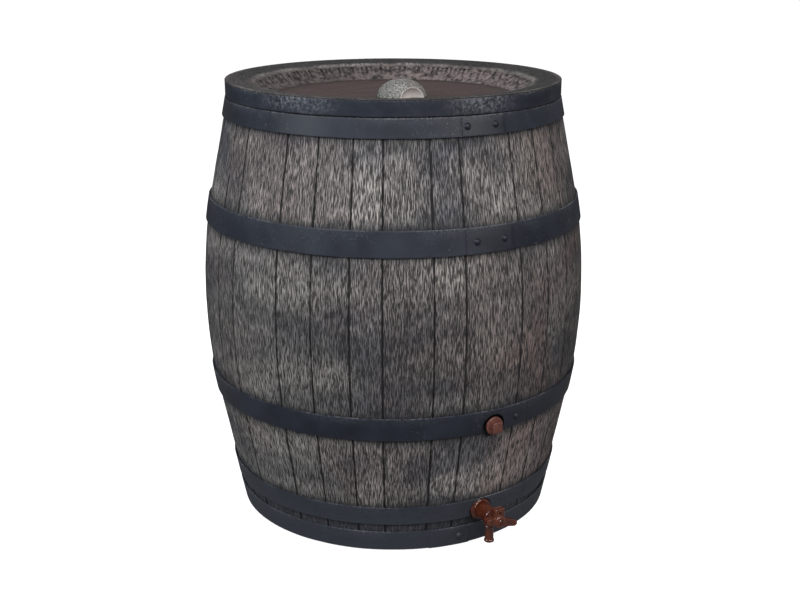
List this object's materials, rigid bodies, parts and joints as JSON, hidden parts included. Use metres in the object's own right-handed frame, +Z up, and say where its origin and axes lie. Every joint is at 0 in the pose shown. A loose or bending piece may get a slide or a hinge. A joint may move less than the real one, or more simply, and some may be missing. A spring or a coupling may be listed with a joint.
{
  "type": "rain barrel",
  "caption": "Cask-shaped rain barrel with stave joints, riveted hoops, lift-off dished lid with grip knob, quarter-turn tap at the foot and a screw plug above it.",
  "frame": {"origin": "on the ground at the centre of the barrel's round base", "axes": "+Z up along the barrel's axis; -Y towards the tap and the plug; +X to the right of someone facing the tap"},
  "size_m": [0.712, 0.7291, 0.806],
  "materials": {
    "staves": "moulded wood grain, driftwood grey-brown, rubbed lighter on the high grain",
    "hoop": "satin blue-grey with a worn upper edge",
    "rivet": "satin blue-grey",
    "lid": "moulded grain, red-brown dish and grey-brown rim",
    "knob": "pale grey, stippled, scoops worn smooth",
    "tap": "glossy red-brown",
    "plug": "satin terracotta",
    "brass": "machined",
    "rubber": "matt black",
    "steel": "zinc plated"
  },
  "bodies": {
    "barrel": {"barrel_shell": "staves", "base_hoop": "hoop", "foot_hoop": "hoop", "lower_bilge_hoop": "hoop", "upper_bilge_hoop": "hoop", "head_hoop": "hoop", "head_hoop_rivet_1": "rivet", "head_hoop_rivet_2": "rivet", "upper_bilge_hoop_rivet_1": "rivet", "upper_bilge_hoop_rivet_2": "rivet", "lower_bilge_hoop_rivet_1": "rivet", "base_hoop_rivet_1": "rivet", "tap_insert": "brass", "plug_insert": "brass", "tap_seal": "rubber", "tap_body": "tap", "tap_bonnet": "tap"},
    "tap_handle": {"tap_handle": "tap", "tap_rotor": "tap", "rotor_back_ring": "rubber", "rotor_front_ring": "rubber", "handle_screw": "tap"},
    "plug_washer": {"plug_washer": "rubber"},
    "plug": {"plug": "plug"},
    "lid": {"lid_shell": "lid", "lid_hoop": "hoop", "lid_knob": "knob", "knob_washer": "steel", "knob_nut": "steel"}
  },
  "joints": [
    {"name": "lid_lift", "type": "slide", "parent": "barrel", "child": "lid", "axis": [0, 0, 1], "range_m": [0, 0.35]},
    {"name": "tap_turn", "type": "hinge", "parent": "barrel", "child": "tap_handle", "pos_m": [0, -0.365, 0.0705], "axis": [0, 1, 0], "range_deg": [0, 90]},
    {"name": "plug_out", "type": "slide", "parent": "barrel", "child": "plug_washer", "axis": [0, -1, 0], "range_m": [0, 0.0127]},
    {"name": "plug_turn", "type": "hinge", "parent": "plug_washer", "child": "plug", "pos_m": [0, -0.345, 0.2435], "axis": [0, -1, 0], "range_deg": [0, 2520]}
  ],
  "couplings": [
    {"joint": "plug_out", "follows": "plug_turn", "m_per_rad": 0.00028871}
  ]
}
